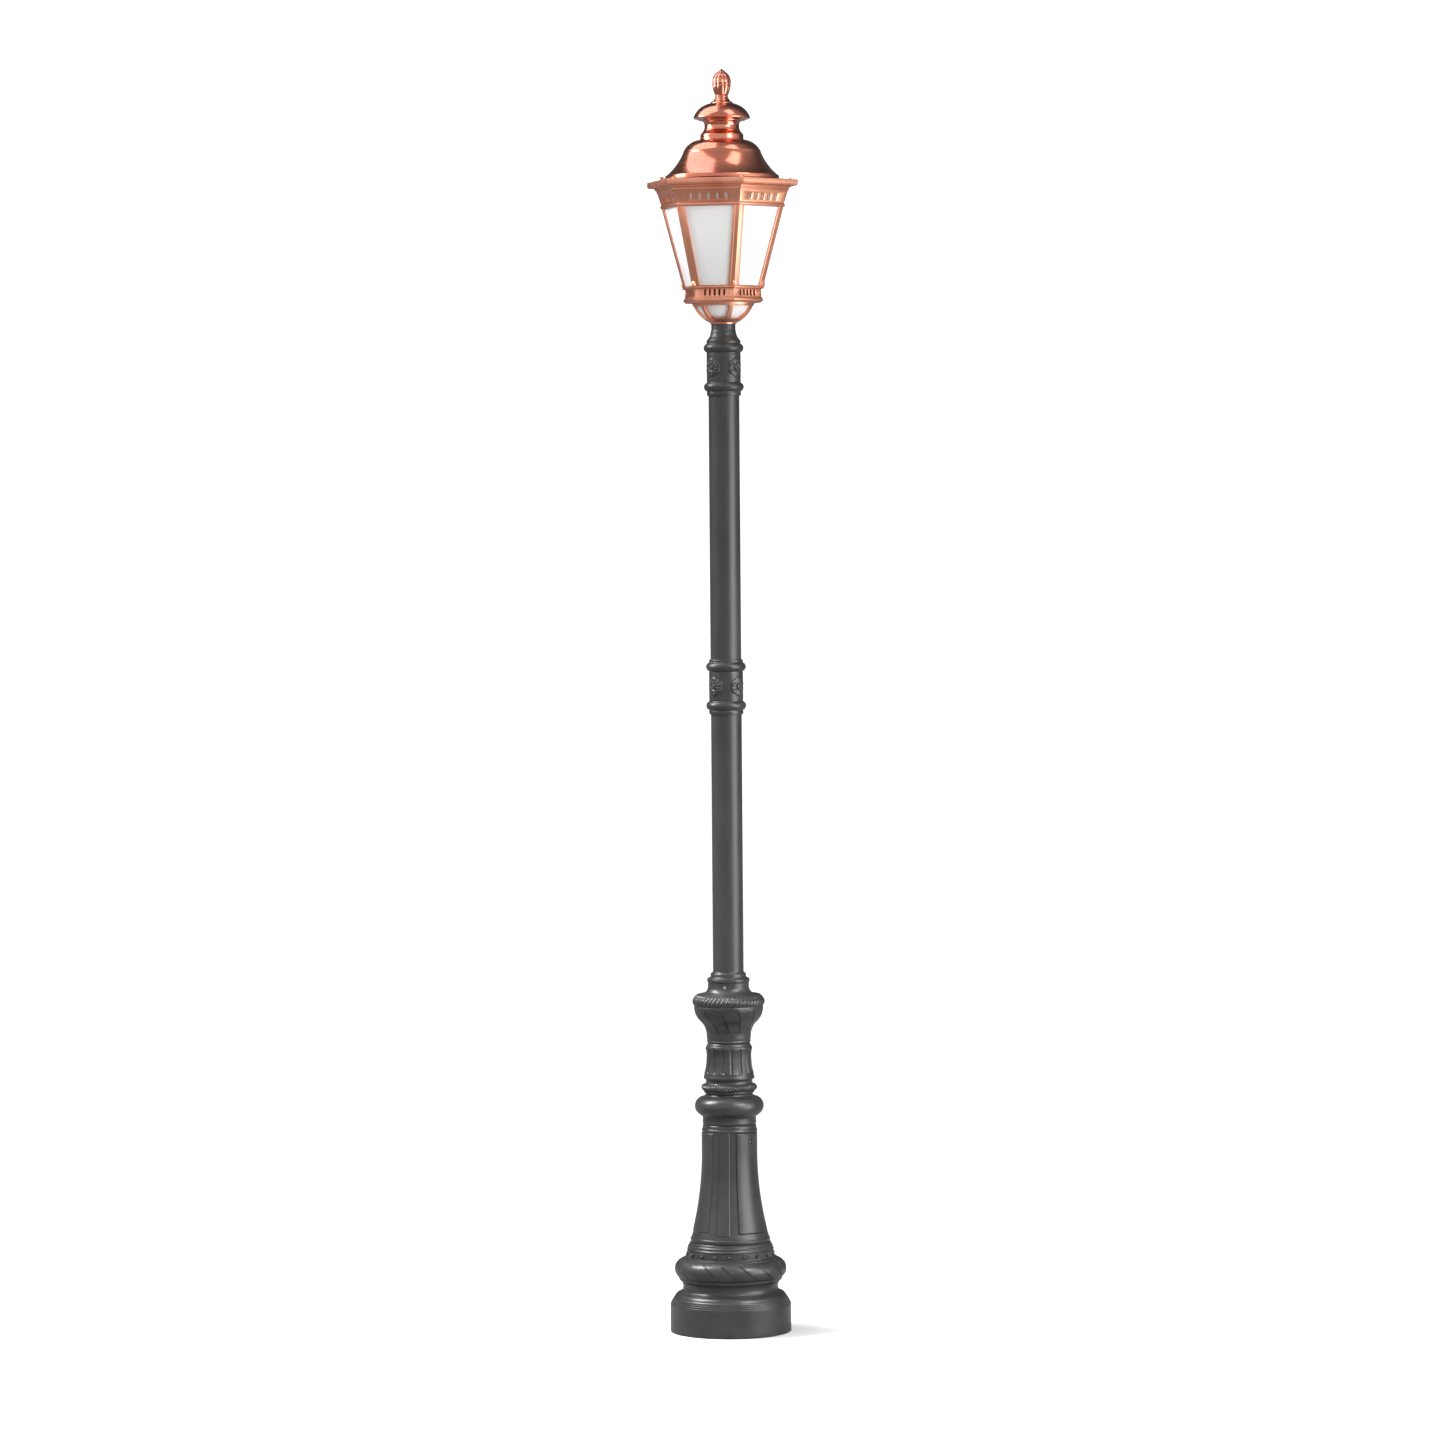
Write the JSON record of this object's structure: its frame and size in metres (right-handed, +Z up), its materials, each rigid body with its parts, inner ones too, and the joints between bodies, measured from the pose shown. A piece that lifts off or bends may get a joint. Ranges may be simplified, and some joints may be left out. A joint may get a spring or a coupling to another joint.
{
  "type": "street lamp post",
  "caption": "Street lamp post: turned cast base with an access door, tubular column with rosette collars, hexagonal copper lantern with opal panes and a hinged dome.",
  "frame": {"origin": "on the ground under the post's axis, at the centre of the base plate's underside", "axes": "+Z up along the post's axis, -Y the lantern's front face, +X a lantern corner"},
  "size_m": [0.448, 0.388, 3.645],
  "materials": {
    "galvanised_steel": "hot-dip galvanised, dull",
    "graphite_coat": "graphite powder coat, satin",
    "copper": "spun and brushed copper under clear lacquer",
    "copper_screws": "copper-plated screws",
    "stainless_steel": "stainless steel, turned",
    "opal_glass": "opal diffusing glazing, satin",
    "cast_aluminium": "as cast",
    "black_rubber": "EPDM",
    "grey_moulding": "moulded",
    "black_moulding": "moulded",
    "brass": "turned brass",
    "led_board": "white solder mask",
    "clear_lens": "clear polycarbonate"
  },
  "bodies": {
    "post": {"base_plate": "galvanised_steel", "bead_ring": "graphite_coat", "bowl_cage": "copper", "bowl_glass": "opal_glass", "compartment_tube": "galvanised_steel", "corner_posts": "copper", "cornice": "copper", "cornice_screws": "copper_screws", "cutout_housing": "grey_moulding", "earth_stud": "brass", "fluted_drum": "graphite_coat", "foot_nuts": "copper_screws", "frieze": "copper", "gallery": "copper", "gallery_screws": "copper_screws", "hinge_fixed_leaf": "copper", "hinge_pin": "stainless_steel", "joint_sleeve": "galvanised_steel", "knop_torus": "graphite_coat", "lantern_socket": "cast_aluminium", "led_driver": "cast_aluminium", "led_lens": "clear_lens", "led_ring": "led_board", "led_tray": "cast_aluminium", "lower_tube": "graphite_coat", "mid_collar": "graphite_coat", "mid_rosettes": "graphite_coat", "mounting_board": "galvanised_steel", "pane_1": "opal_glass", "pane_2": "opal_glass", "pane_3": "opal_glass", "pane_4": "opal_glass", "pane_5": "opal_glass", "pane_6": "opal_glass", "pearl_band": "graphite_coat", "pedestal": "graphite_coat", "plinth": "graphite_coat", "ribbon_torus": "graphite_coat", "riser_cable": "black_rubber", "socket_collar": "graphite_coat", "socket_screws": "stainless_steel", "spigot": "galvanised_steel", "stem": "stainless_steel", "top_collar": "graphite_coat", "top_rosettes": "graphite_coat", "upper_tube": "graphite_coat", "vase": "graphite_coat"},
    "roof": {"dome": "copper", "dome_gasket": "black_rubber", "chimney": "copper", "chimney_cap": "copper", "finial": "copper", "finial_stud": "stainless_steel", "hinge_moving_leaf": "copper"},
    "roof_catch": {"roof_catch": "copper"},
    "service_door": {"service_door": "graphite_coat", "door_gasket": "black_rubber", "lock_barrel": "stainless_steel"},
    "door_lock": {"lock_cam": "stainless_steel"},
    "fuse_carrier": {"fuse_carrier": "black_moulding"}
  },
  "joints": [
    {"name": "roof_hinge", "type": "hinge", "parent": "post", "child": "roof", "pos_m": [0.14896, 0.086, 3.328], "axis": [-0.5, 0.866, 0], "range_deg": [0, 100]},
    {"name": "catch_turn", "type": "hinge", "parent": "post", "child": "roof_catch", "pos_m": [-0.15588, -0.09, 3.33], "axis": [0, 0, -1], "range_deg": [0, 90]},
    {"name": "door_lift_off", "type": "slide", "parent": "post", "child": "service_door", "axis": [0.891, -0.454, 0], "range_m": [0, 0.15]},
    {"name": "lock_turn", "type": "hinge", "parent": "service_door", "child": "door_lock", "pos_m": [0.06415, -0.03269, 0.555], "axis": [0.891, -0.454, 0], "range_deg": [0, 90]},
    {"name": "carrier_pull", "type": "slide", "parent": "post", "child": "fuse_carrier", "axis": [0.891, -0.454, 0], "range_m": [0, 0.03]}
  ]
}
